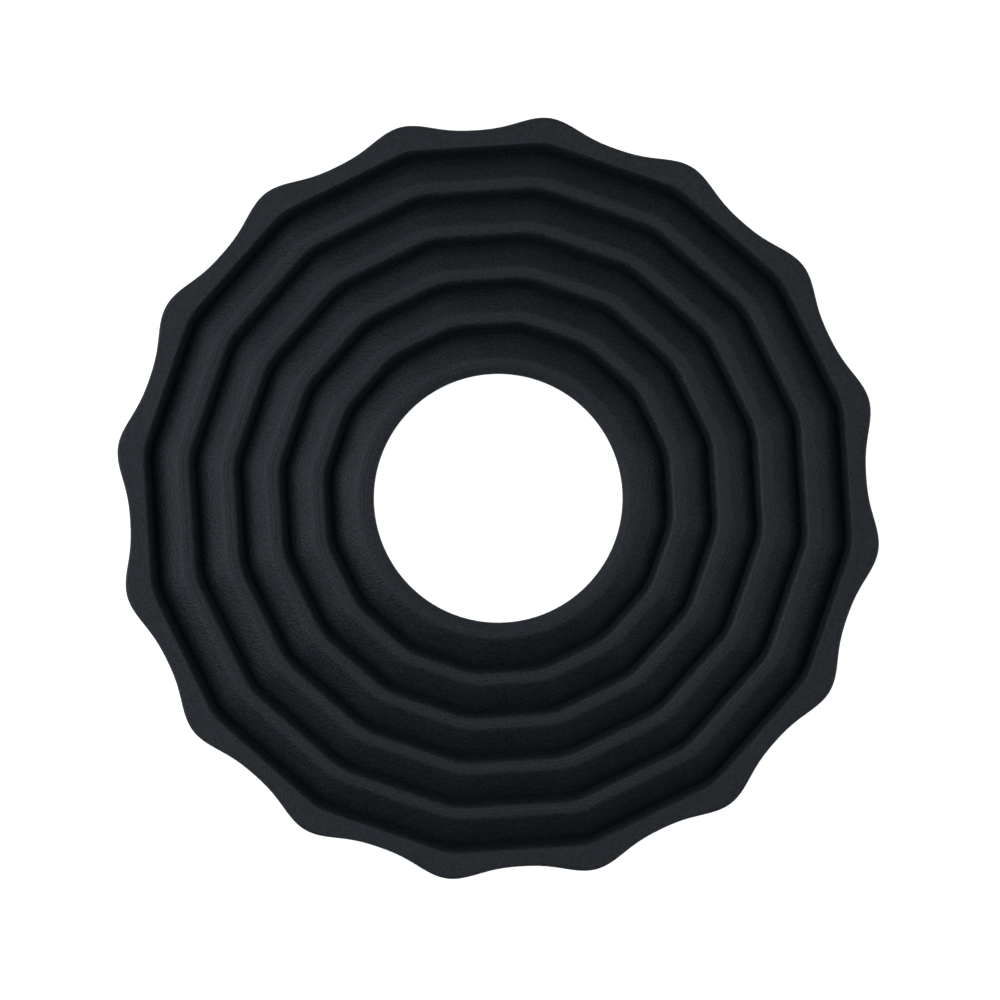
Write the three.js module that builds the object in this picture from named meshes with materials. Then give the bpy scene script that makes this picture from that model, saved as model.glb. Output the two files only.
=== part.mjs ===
// A collapsible bellows hood, pressed flat: one soft silicone moulding that works as six stiff rings,
// one inside the other, joined by five slanting webs. Each web bends at a thin fold at its outer foot
// and at its inner crest, so that it can flip over and carry the rings outside it upwards.
// Millimetres, +Z up. It stands on z = 0, the bore's axis is Z, and one lobe of the rim points along +X.
import * as THREE from "three";

// Plan. A distance across is from the axis to the middle of a side of a sixteen-sided ring.
const lobes = 16;
const rimRadius = 98; // mean radius of the wavy edge
const rimWave = 1.96; // how far the waves stand out of it and dip into it
const lobeSharpness = 0.27; // makes the lobes narrower than the dips between them
const flangeInner = 92; // inner edge of the flat flange, across
const firstFoot = 91; // inner foot of the rim's wall, across
const pitch = 11.575; // from one ring's foot to the next
const pleats = 5;
const boreRadius = 32.5; // grips a barrel of about 65 mm
const collarRadius = 36.6; // where the last web meets the collar
const pleatCorner = 22; // corner radius of the rings
const flangeCorner = 17; // and of the flange's inner edge

// Heights and thicknesses
const landHeight = 7; // flat tops of the rings
const flangeTop = 7.8;
const flangeThickness = 2;
const flangeRound = 0.7; // chamfer that stands for the flange's rounded edge
const wallThickness = 2.3;
const wallLean = 1.4; // how much further out a wall's top is than its foot
const rimLean = 0.9; // the same for the rim's wall, which stays behind the flange's inner edge
const footLedge = 1.6; // upright part of a wall that a foot fold joins
const crestLedge = 1.4; // and of a wall's top, that a crest fold joins
const sleeveThickness = 2.2;
const lipHeight = 2.8;
const webThickness = 1.2;
const webBulge = 0.5; // how far a web's middle stands up out of a straight slope
const foldThickness = 0.8;
const footFoldWidth = 0.9; // lies flat at the bottom of the groove
const crestFoldWidth = 1; // slants with the web
const lowFold = 1.1; // height of the middle of the sheet at its foot
const highFold = 6.4; // and at its crest
const seam = 0.1; // parting between neighbouring zones of the moulding

const lobeAngle = (2 * Math.PI) / lobes;
const ringSamples = 3; // directions to a lobe: a corner and the two ends of its arc
const edgeSamples = 8;

const hood = new THREE.Group();

function silicone() {
  return new THREE.MeshStandardMaterial({ color: 0x191c1f, roughness: 0.6, metalness: 0 });
}

// Round at the collar, sixteen-sided with round corners further out.
function cornerRadius(across) {
  const lastFoot = firstFoot - (pleats - 1) * pitch;
  const { mapLinear, clamp } = THREE.MathUtils;
  if (across <= collarRadius) return across;
  if (across < lastFoot) return mapLinear(across, collarRadius, lastFoot, collarRadius, pleatCorner);
  return mapLinear(clamp(across, firstFoot, flangeInner), firstFoot, flangeInner, pleatCorner, flangeCorner);
}

// How far from a corner's direction its arc ends.
function arcEnd(across) {
  const corner = cornerRadius(across);
  const centre = (across - corner) / Math.cos(lobeAngle / 2);
  return Math.atan2(corner * Math.sin(lobeAngle / 2), centre + corner * Math.cos(lobeAngle / 2));
}

// Radius of a rounded ring in the direction that is `away` from its nearest corner.
function ringReach(across, away) {
  if (away > arcEnd(across)) return across / Math.cos(lobeAngle / 2 - away);
  const corner = cornerRadius(across);
  const centre = (across - corner) / Math.cos(lobeAngle / 2);
  return centre * Math.cos(away) + Math.sqrt(corner ** 2 - (centre * Math.sin(away)) ** 2);
}

// Radius on the flange, whose outline turns from the rounded ring into the wavy edge.
function flangeReach(across, away) {
  const inner = ringReach(flangeInner, away);
  const edge =
    rimRadius + rimWave * Math.cos(lobes * away) + lobeSharpness * Math.cos(2 * lobes * away);
  return THREE.MathUtils.mapLinear(across, flangeInner, rimRadius, inner, edge);
}

// Turns a section, a list of [across, height] from its outer foot over its top, about the axis, and
// pulls the round turning to the rings' plan.
function addRing(name, section, level = 0, wavy = false) {
  const samples = wavy ? edgeSamples : ringSamples;
  const points = [...section, section[0]].map(([across, height]) => new THREE.Vector2(across, height));
  const geometry = new THREE.LatheGeometry(points, lobes * samples).rotateX(Math.PI / 2);
  const position = geometry.getAttribute("position");
  for (let i = 0; i < position.count; i += 1) {
    const across = Math.hypot(position.getX(i), position.getY(i));
    const direction = Math.atan2(position.getY(i), position.getX(i));
    const corner = Math.round(direction / lobeAngle) * lobeAngle;
    const evenStep = lobeAngle / ringSamples;
    const gather = wavy ? 1 : Math.min(1, arcEnd(across) / evenStep);
    const away = (direction - corner) * gather;
    const reach = (wavy ? flangeReach : ringReach)(across, Math.abs(away));
    position.setXY(i, reach * Math.cos(corner + away), reach * Math.sin(corner + away));
  }
  geometry.computeVertexNormals();
  const mesh = new THREE.Mesh(geometry, silicone());
  mesh.name = name;
  mesh.position.z = level;
  hood.add(mesh);
}

// The flat flange that presses on the glass.
function addFlange() {
  const low = flangeRound;
  const high = flangeThickness - flangeRound;
  const section = [
    [rimRadius - flangeRound, 0],
    [rimRadius, low],
    [rimRadius, high],
    [rimRadius - flangeRound, flangeThickness],
    [flangeInner, flangeThickness],
    [flangeInner, 0],
  ];
  addRing("rim_flange", section, flangeTop - flangeThickness, true);
}

// A stiff wall that leans out from its foot to a flat top.
function addWall(name, foot, crest, top) {
  addRing(name, [
    [foot + wallThickness, 0],
    [crest + wallThickness, top - crestLedge],
    [crest + wallThickness, top],
    [crest, top],
    [foot, footLedge],
    [foot, 0],
  ]);
}

// The upright sleeve that grips the barrel, and the rounded lip around its mouth.
function addCollar() {
  const lipLevel = landHeight - lipHeight;
  const round = lipHeight / 3;
  addRing("collar_sleeve", [
    [boreRadius + sleeveThickness, 0],
    [boreRadius + sleeveThickness, lipLevel - seam],
    [boreRadius, lipLevel - seam],
    [boreRadius, 0],
  ]);
  const lip = [
    [boreRadius + sleeveThickness, 0],
    [collarRadius, lipHeight - crestLedge],
    [collarRadius, lipHeight],
    [boreRadius + 2 * round, lipHeight],
    [boreRadius + round / 2, lipHeight - round / 2],
    [boreRadius, lipHeight - 2 * round],
    [boreRadius, 0],
  ];
  addRing("collar_lip", lip, lipLevel);
}

// One pleat's sheet from the outer wall's foot to the inner wall's crest: a flat fold, then a web and
// a second fold that slant up.
function addPleat(number, foot, crest) {
  const webOuter = foot - footFoldWidth;
  const webInner = crest + crestFoldWidth;
  const slant = Math.atan2(highFold - lowFold, webOuter - crest);
  const middle = (across) =>
    Math.max(lowFold, THREE.MathUtils.mapLinear(across, webOuter, crest, lowFold, highFold));
  function addStrip(name, outer, inner, half, bulge = 0) {
    const line = [
      [outer - seam / 2, middle(outer)],
      [inner + seam / 2, middle(inner)],
    ];
    const halfway = (outer + inner) / 2;
    if (bulge) line.splice(1, 0, [halfway, middle(halfway) + bulge]);
    addRing(name, [
      ...line.map(([across, height]) => [across, height + half]),
      ...line.reverse().map(([across, height]) => [across, height - half]),
    ]);
  }
  addStrip(`foot_fold_${number}`, foot - seam / 2, webOuter, foldThickness / 2);
  addStrip(`web_${number}`, webOuter, webInner, webThickness / 2 / Math.cos(slant), webBulge);
  addStrip(`crest_fold_${number}`, webInner, crest + seam / 2, foldThickness / 2 / Math.cos(slant));
}

addFlange();
addWall("rim_wall", firstFoot, firstFoot + rimLean, flangeTop - flangeThickness - seam);
for (let pleat = 1; pleat <= pleats; pleat += 1) {
  const foot = firstFoot - (pleat - 1) * pitch;
  const nextFoot = foot - pitch;
  const nextCrest = nextFoot + wallLean;
  const last = pleat === pleats;
  addPleat(pleat, foot, last ? collarRadius : nextCrest + wallThickness);
  if (!last) addWall(`ring_wall_${pleat}`, nextFoot, nextCrest, landHeight);
}
addCollar();

export default hood;
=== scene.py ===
"""The looks of a collapsible silicone bellows hood, pressed flat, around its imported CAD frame.

Every piece is a section carried round the bore's axis. A section is a list of (across, height) points, where
across is the distance from the axis to the middle of a side of a sixteen-sided ring. Lengths are in metres.
"""

import math

import bpy
import numpy as np
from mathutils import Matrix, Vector


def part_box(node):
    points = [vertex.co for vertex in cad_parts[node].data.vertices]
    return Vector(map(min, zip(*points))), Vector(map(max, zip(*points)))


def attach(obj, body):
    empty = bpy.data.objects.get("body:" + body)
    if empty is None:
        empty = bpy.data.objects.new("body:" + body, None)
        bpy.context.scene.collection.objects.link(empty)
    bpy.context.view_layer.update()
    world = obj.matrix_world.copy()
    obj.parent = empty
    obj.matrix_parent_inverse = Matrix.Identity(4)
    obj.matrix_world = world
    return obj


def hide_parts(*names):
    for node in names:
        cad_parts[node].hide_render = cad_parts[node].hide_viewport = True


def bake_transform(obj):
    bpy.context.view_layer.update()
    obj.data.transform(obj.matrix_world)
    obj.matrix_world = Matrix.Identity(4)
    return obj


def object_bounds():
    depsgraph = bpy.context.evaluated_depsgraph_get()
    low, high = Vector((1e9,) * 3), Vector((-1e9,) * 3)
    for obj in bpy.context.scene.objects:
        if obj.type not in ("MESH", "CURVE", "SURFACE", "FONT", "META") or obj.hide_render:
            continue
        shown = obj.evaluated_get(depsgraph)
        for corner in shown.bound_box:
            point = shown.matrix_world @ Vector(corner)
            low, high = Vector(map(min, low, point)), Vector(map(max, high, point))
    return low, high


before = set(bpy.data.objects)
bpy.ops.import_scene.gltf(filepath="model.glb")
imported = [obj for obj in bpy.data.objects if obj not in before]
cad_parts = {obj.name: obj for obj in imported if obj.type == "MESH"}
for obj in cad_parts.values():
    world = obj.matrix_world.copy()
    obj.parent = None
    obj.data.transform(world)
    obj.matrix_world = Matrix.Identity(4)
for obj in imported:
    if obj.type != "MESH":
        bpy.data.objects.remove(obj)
cad_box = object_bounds()

# Plan
LOBES = 16
HALF = math.pi / LOBES  # from a corner to the middle of a side
PLEATS = 5
STEPS_PER_LOBE = 24
CORNER_CROWDING = 1.5  # above 1, the steps lie closer together at the corners
CAD_CORNER = 0.022  # corner radius of the CAD model's walls
FOOT_CORNER = 0.013
CREST_CORNER = 0.018
FLANGE_CORNER = 0.012
RIM_WAVE = 0.00196
LOBE_SHARPNESS = 0.00027

# Section: walls and flange
WALL = 0.0023
LEAN = 0.0014  # how far a wall's crest lies outside its foot
RIM_LEAN = 0.0009
SLEEVE = 0.0022
FLANGE_OVERLAP = 0.0010  # from the rim's inner foot to the flange's inner edge
WAVE_START = 0.0030  # outside the rim's wall, where the flange begins to wave
PITCH = 0.011575
CREASE = 0.0014  # height of the sharp crease where a web meets the wall outside it
TOE = 0.0007  # how far inside the wall's foot that crease lies

# Section: webs and folds
WEB = 0.0012
FOLD = 0.0008
FOLD_WIDTH = 0.0009
BULGE = math.radians(11)  # how much a web's slope eases off at its crest and steepens at its foot
SHOULDER = 0.0028  # radius where a land turns into its web
FOOT_BURIED = 0.0010  # how far a sheet reaches into the wall at its foot
CREST_BURIED = 0.0016  # and into the land at its crest
CREASE_WIDTH = 0.0001  # flat at the crease, before the web starts
SHEET_DROP = 0.00005  # how far a sheet's crest lies below the land
SHEET_STEP = 0.0004  # longest step along a sheet's section

# Section: edges
EDGE_ROUND = 0.0005
FLANGE_ROUND = 0.0007
FLANGE_INNER_ROUND = 0.0002
FLANGE_INNER_DROP = 0.0001
UNDER_ROUND = 0.0006  # where a wall meets the underside of the flange, or a land its outer side
SIDE_HEIGHT = 0.0014  # a land's upright outer side
SIDE_DROP = 0.0001  # how far its upper edge lies below the land
SIDE_SETBACK = 0.0004  # how far it lies inside the web's crest
BEAD = 0.0004  # width of the fine bead along a land's inner edge
BEAD_DROP = 0.00009  # how far it and the dip beside it lie below the land
BEAD_ROUND = 0.0002
DIP_WIDTH = 0.0011  # from a land's inner edge to where its flat begins
DIP_ROUND = 0.0008
LIP_DEPTH = 0.0035  # how far below the land the collar's lip leaves the sleeve
LIP_ROUND = 0.0008
MOUTH_WIDTH = 0.0018  # the rounding of the bore's mouth
MOUTH_DROP = 0.0006
MOUTH_ROUND = 0.0004

# Silicone
DARK_TONE = (0.0050, 0.0065, 0.0077, 1)
LIGHT_TONE = (0.0184, 0.0236, 0.0278, 1)
LOWEST_ROUGHNESS = 0.47
HIGHEST_ROUGHNESS = 0.54

# Studio
FLOOR_REACH = 20.0
FLOOR_GAP = 0.0002
PALE = 0.9
DIM = 0.01  # how brightly the surroundings light the object
COOL_WHITE = (0.94, 1.0, 1.10)
SOFT_BOXES = [  # name, direction, elevation, distance, size, power
    ("left", 187, 40, 0.6, 0.45, 1.4),
    ("back_left", 142, 41, 1.2, 0.9, 1.7),
    ("back", 98, 38, 1.2, 0.9, 0.5),
    ("right", 8, 43, 1.2, 0.9, 3.4),
    ("front_right", 323, 38, 1.2, 0.9, 0.1),
    ("front_left", 233, 54, 1.2, 0.9, 0.2),
    ("over", 8, 89, 1.2, 0.9, 1.9),
]
CAMERA_TURN = math.radians(7.69)
CAMERA_LENS = 300
CAMERA_SENSOR = 36
VIEW_WIDTH = 0.2611  # at the height of the lands
VIEW_OFFSET = (0.0018, -0.0017)  # right and up, as shares of the view's width

FLANGE_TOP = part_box("rim_flange")[1].z
FLANGE_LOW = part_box("rim_flange")[0].z
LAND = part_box("ring_wall_1")[1].z
RIM_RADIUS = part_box("rim_flange")[1].x - RIM_WAVE - LOBE_SHARPNESS
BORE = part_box("collar_sleeve")[1].x - SLEEVE
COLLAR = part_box("collar_lip")[1].x


def across_of(reach, corner):
    """Distance across of a rounded ring whose corners reach that far."""
    return (reach - corner) * math.cos(HALF) + corner


CRESTS = [across_of(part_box(f"ring_wall_{n}")[1].x, CAD_CORNER) - WALL for n in range(1, PLEATS)]
FEET = [CRESTS[0] - LEAN + PITCH] + [crest - LEAN for crest in CRESTS]
FLANGE_INNER = FEET[0] + FLANGE_OVERLAP


def corner_radius(across, height):
    """Round at the collar, sixteen-sided further out, with softer corners at the crests than at the feet."""
    if across <= COLLAR:
        return across
    pleat = np.interp(height, [0, LAND], [FOOT_CORNER, CREST_CORNER])
    pleat = np.interp(across, [FEET[0], FLANGE_INNER], [pleat, FLANGE_CORNER])
    return np.interp(across, [COLLAR, FEET[-1]], [COLLAR, pleat])


def ring_reach(across, corner, away):
    """Radius of a rounded ring at the angles away from its nearest corner."""
    centre = (across - corner) / math.cos(HALF)
    arc_end = math.atan2(corner * math.sin(HALF), centre + corner * math.cos(HALF))
    on_arc = centre * np.cos(away) + np.sqrt(np.maximum(corner**2 - (centre * np.sin(away)) ** 2, 0))
    return np.where(away > arc_end, across / np.cos(HALF - away), on_arc)


def wavy_reach(across, away):
    """Radius on the flange, from its inner edge to its wavy outline."""
    inner = ring_reach(FLANGE_INNER, FLANGE_CORNER, away)
    edge = RIM_RADIUS + RIM_WAVE * np.cos(LOBES * away) + LOBE_SHARPNESS * np.cos(2 * LOBES * away)
    return inner + (edge - inner) * (across - FLANGE_INNER) / (RIM_RADIUS - FLANGE_INNER)


def rounded(corners, closed=True, steps=5):
    """The section with its corners rounded. Each corner is (across, height, radius)."""
    points = [Vector(corner[:2]) for corner in corners]
    ends = () if closed else (0, len(points) - 1)
    outline = []
    for i, (here, corner) in enumerate(zip(points, corners)):
        radius = corner[2]
        if i in ends or not radius:
            outline.append(here)
            continue
        back = (points[i - 1] - here).normalized()
        on = (points[(i + 1) % len(points)] - here).normalized()
        half = back.angle(on) / 2
        centre = here + (back + on).normalized() * radius / math.sin(half)
        first = here + back * radius / math.tan(half) - centre
        last = here + on * radius / math.tan(half) - centre
        outline += [centre + first.slerp(last, k / steps) * radius for k in range(steps + 1)]
    return outline


def ring(name, section, closed=True, wavy_from=None):
    """Carries the section round the axis. Beyond wavy_from it follows the flange's waves."""
    spread = np.linspace(-1, 1, STEPS_PER_LOBE, endpoint=False)
    offsets = HALF * np.sign(spread) * np.abs(spread) ** CORNER_CROWDING
    directions = np.concatenate([2 * HALF * lobe + offsets for lobe in range(LOBES)])
    away = np.tile(np.abs(offsets), LOBES)
    rows = []
    for across, height in section:
        if wavy_from is not None and across > wavy_from:
            reach = wavy_reach(across, away)
        else:
            reach = ring_reach(across, corner_radius(across, height), away)
        level = np.full_like(reach, height)
        rows.append(np.stack([reach * np.cos(directions), reach * np.sin(directions), level], axis=1))
    count = len(rows)
    around = len(directions)
    faces = []
    for i in range(count if closed else count - 1):
        low = i * around
        high = (i + 1) % count * around
        for k in range(around):
            on = (k + 1) % around
            faces.append((low + k, low + on, high + on, high + k))
    mesh = bpy.data.meshes.new(name)
    mesh.from_pydata(np.concatenate(rows).tolist(), [], faces)
    mesh.polygons.foreach_set("use_smooth", [True] * len(mesh.polygons))
    piece = bpy.data.objects.new(name, mesh)
    bpy.context.scene.collection.objects.link(piece)
    return piece


def node(tree, kind, **inputs):
    """A shader node with its inputs set, or linked where the value is another node's output."""
    made = tree.nodes.new(kind)
    for key, value in inputs.items():
        socket = made.inputs[key.replace("_", " ")]
        if isinstance(value, bpy.types.NodeSocket):
            tree.links.new(value, socket)
        else:
            socket.default_value = value
    return made


def silicone():
    """Matt black silicone: a fine grain in height and tone, with slow changes of polish."""
    material = bpy.data.materials.new("silicone")
    material.use_nodes = True
    tree = material.node_tree
    shader = tree.nodes["Principled BSDF"]
    shader.inputs["IOR"].default_value = 1.41
    place = node(tree, "ShaderNodeTexCoord").outputs["Object"]
    cloud = node(tree, "ShaderNodeTexNoise", Vector=place, Scale=45.0, Detail=3.0)
    grain = node(tree, "ShaderNodeTexNoise", Vector=place, Scale=1600.0, Detail=3.0)
    tone = node(tree, "ShaderNodeValToRGB", Fac=grain.outputs["Fac"])
    dark, light = tone.color_ramp.elements
    dark.position = 0.3
    dark.color = DARK_TONE
    light.position = 0.7
    light.color = LIGHT_TONE
    tree.links.new(tone.outputs["Color"], shader.inputs["Base Color"])
    polish = node(tree, "ShaderNodeMapRange", Value=cloud.outputs["Fac"])
    polish.inputs["To Min"].default_value = LOWEST_ROUGHNESS
    polish.inputs["To Max"].default_value = HIGHEST_ROUGHNESS
    tree.links.new(polish.outputs["Result"], shader.inputs["Roughness"])
    bump = node(tree, "ShaderNodeBump", Height=grain.outputs["Fac"], Strength=0.7, Distance=0.0003)
    tree.links.new(bump.outputs["Normal"], shader.inputs["Normal"])
    return material


SILICONE = silicone()


def finish_piece(piece, *nodes):
    """Gives a piece its material and its smooth shading, and hides the CAD nodes that it stands for."""
    piece.data.materials.append(SILICONE)
    piece.modifiers.new("even_shading", "WEIGHTED_NORMAL").keep_sharp = True
    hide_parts(*nodes)


def riser(low, high, top, steps=8):
    """A wall's inner face from its top down: part of an ellipse that rounds off the land and ends upright."""
    turns = [k / steps * math.pi / 2 for k in range(1, steps)]
    width = high - low
    drop = top - CREASE
    return [(low + width * (1 - math.sin(t)), CREASE + drop * math.cos(t), 0) for t in turns]


def toe(foot):
    """The bottom of a wall's inner side: from the crease in to the foot."""
    return [
        (foot - TOE, CREASE, 0),
        (foot, 0, EDGE_ROUND),
    ]


def outer_side(web_crest):
    """The upright outer side of a land, from below upwards, just inside the crest of the web beside it."""
    across = web_crest - SIDE_SETBACK
    return [
        (across, LAND - SIDE_HEIGHT, EDGE_ROUND),
        (across, LAND - SIDE_DROP, UNDER_ROUND),
    ]


def land_edge(edge):
    """The inner edge of a land, from the flat inwards: a slope, a dip and a fine bead."""
    return [
        (edge + DIP_WIDTH, LAND, DIP_ROUND),
        (edge + BEAD, LAND - BEAD_DROP, BEAD_ROUND),
        (edge + BEAD / 2, LAND - BEAD_DROP / 2, BEAD_ROUND / 2),
        (edge, LAND - BEAD_DROP, BEAD_ROUND),
    ]


def add_rim():
    """The flange and the wall under its inner edge, in one."""
    foot = FEET[0]
    section = rounded([
        (foot + WALL, 0, EDGE_ROUND),
        (foot + WALL + RIM_LEAN, FLANGE_LOW, UNDER_ROUND),
        (RIM_RADIUS, FLANGE_LOW, FLANGE_ROUND),
        (RIM_RADIUS, FLANGE_TOP, FLANGE_ROUND),
        (FLANGE_INNER, FLANGE_TOP, FLANGE_INNER_ROUND),
        *riser(foot - TOE, FLANGE_INNER, FLANGE_TOP - FLANGE_INNER_DROP),
        *toe(foot),
    ])
    rim = ring("rim", section, wavy_from=foot + WALL + WAVE_START)
    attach(rim, "rim")
    finish_piece(rim, "rim_flange", "rim_wall")


def add_wall(number):
    """A stiff wall with its flat top, the land."""
    foot = FEET[number]
    crest = CRESTS[number - 1]
    section = rounded([
        (foot + WALL, 0, EDGE_ROUND),
        *outer_side(crest + WALL),
        *land_edge(crest),
        *riser(foot - TOE, crest, LAND - BEAD_DROP),
        *toe(foot),
    ])
    wall = ring(f"wall_{number}", section)
    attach(wall, f"ring_{number}")
    finish_piece(wall, f"ring_wall_{number}")


def add_collar():
    """The sleeve round the bore and the lip at its mouth."""
    section = rounded([
        (BORE + SLEEVE, 0, EDGE_ROUND),
        (BORE + SLEEVE, LAND - LIP_DEPTH, LIP_ROUND),
        *outer_side(COLLAR),
        *land_edge(BORE + MOUTH_WIDTH),
        (BORE, LAND - MOUTH_DROP, MOUTH_ROUND),
        (BORE, 0, EDGE_ROUND),
    ])
    collar = ring("collar", section)
    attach(collar, "collar")
    finish_piece(collar, "collar_lip", "collar_sleeve")


def bulging(low, high, steps=8):
    """Points between the two, on an arc that stands up out of the straight line."""
    low = Vector(low)
    high = Vector(high)
    half = (high - low) / 2
    centre = (low + high) / 2 + half.orthogonal() / math.tan(BULGE)
    first = low - centre
    last = high - centre
    arc = [centre + first.slerp(last, k / steps) * first.length for k in range(1, steps)]
    return [(*point, 0) for point in arc]


def finely_stepped(outline):
    """The open outline with more points along it."""
    fine = []
    for a, b in zip(outline, outline[1:]):
        parts = max(1, round((b - a).length / SHEET_STEP))
        fine += [a.lerp(b, k / parts) for k in range(parts)]
    return [*fine, outline[-1]]


def thicken(sheet, section, foot, crest):
    """Thickens a sheet downwards: to the folds' thickness at its two edges and to the web's between them."""
    full = sheet.vertex_groups.new(name="full")
    around = LOBES * STEPS_PER_LOBE
    for i, point in enumerate(section):
        inside = min(foot - FOLD_WIDTH - point.x, point.x - crest) / FOLD_WIDTH
        full.add(range(i * around, (i + 1) * around), min(1, max(0, inside)), "REPLACE")
    solid = sheet.modifiers.new("thickness", "SOLIDIFY")
    solid.thickness = WEB
    solid.offset = -1
    solid.use_even_offset = True
    solid.vertex_group = "full"
    solid.thickness_vertex_group = FOLD / WEB


def add_sheet(number):
    """A pleat's web with its two folds: an upper face between its rings, thickened below."""
    foot = FEET[number - 1]
    crest = COLLAR if number == PLEATS else CRESTS[number - 1] + WALL
    top = LAND - SHEET_DROP
    web_foot = (foot - TOE - CREASE_WIDTH, CREASE)
    outline = rounded([
        (foot - TOE + FOOT_BURIED, CREASE, 0),
        (*web_foot, 0),
        *bulging(web_foot, (crest, top)),
        (crest, top, SHOULDER),
        (crest - CREST_BURIED, top, 0),
    ], closed=False)
    section = finely_stepped(outline)
    sheet = ring(f"pleat_{number}", section, closed=False)
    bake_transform(sheet)
    thicken(sheet, section, foot, crest)
    finish_piece(sheet, f"foot_fold_{number}", f"web_{number}", f"crest_fold_{number}")


def add_floor():
    """A wide pale floor just under the object."""
    low = cad_box[0].z - FLOOR_GAP
    bpy.ops.mesh.primitive_plane_add(size=2 * FLOOR_REACH, location=(0, 0, low))
    floor = bpy.context.object
    floor.name = "floor"
    material = bpy.data.materials.new("floor")
    material.use_nodes = True
    shader = material.node_tree.nodes["Principled BSDF"]
    shader.inputs["Base Color"].default_value = (PALE, PALE, PALE, 1)
    shader.inputs["Roughness"].default_value = 0.9
    shader.inputs["Emission Color"].default_value = (1, 1, 1, 1)
    shader.inputs["Emission Strength"].default_value = PALE
    floor.data.materials.append(material)


def add_world():
    """As pale as the floor where it is seen, and almost dark as a light, because the soft boxes light."""
    world = bpy.data.worlds.new("world")
    world.use_nodes = True
    tree = world.node_tree
    seen = node(tree, "ShaderNodeLightPath").outputs["Is Camera Ray"]
    strength = node(tree, "ShaderNodeMapRange", Value=seen, To_Min=DIM, To_Max=PALE)
    tree.nodes["Background"].inputs["Color"].default_value = (1, 1, 1, 1)
    tree.links.new(strength.outputs["Result"], tree.nodes["Background"].inputs["Strength"])
    bpy.context.scene.world = world


def add_light(name, direction, elevation, distance, size, power):
    """A square soft box that looks at the object from a direction and an elevation, in degrees from +X."""
    data = bpy.data.lights.new(name, "AREA")
    data.size = size
    data.energy = power
    data.color = COOL_WHITE
    light = bpy.data.objects.new(name, data)
    turn = math.radians(direction)
    rise = math.radians(elevation)
    away = Vector((math.cos(turn) * math.cos(rise), math.sin(turn) * math.cos(rise), math.sin(rise)))
    light.location = distance * away
    light.rotation_euler = light.location.to_track_quat("Z", "Y").to_euler()
    light.visible_camera = False
    bpy.context.scene.collection.objects.link(light)


def add_camera():
    """Straight above, through a long lens, turned a little about the bore's axis."""
    data = bpy.data.cameras.new("camera")
    data.lens = CAMERA_LENS
    data.sensor_width = CAMERA_SENSOR
    camera = bpy.data.objects.new("camera", data)
    right = Vector((math.cos(CAMERA_TURN), math.sin(CAMERA_TURN)))
    up = Vector((-math.sin(CAMERA_TURN), math.cos(CAMERA_TURN)))
    place = (right * VIEW_OFFSET[0] + up * VIEW_OFFSET[1]) * VIEW_WIDTH
    height = VIEW_WIDTH * data.lens / data.sensor_width + LAND
    camera.location = (place.x, place.y, height)
    camera.rotation_euler = (0, 0, CAMERA_TURN)
    bpy.context.scene.collection.objects.link(camera)
    bpy.context.scene.camera = camera


add_rim()
for number in range(1, PLEATS):
    add_wall(number)
add_collar()
for number in range(1, PLEATS + 1):
    add_sheet(number)
add_floor()
for soft_box in SOFT_BOXES:
    add_light(*soft_box)
add_camera()
add_world()
bpy.context.scene.view_settings.view_transform = "Standard"
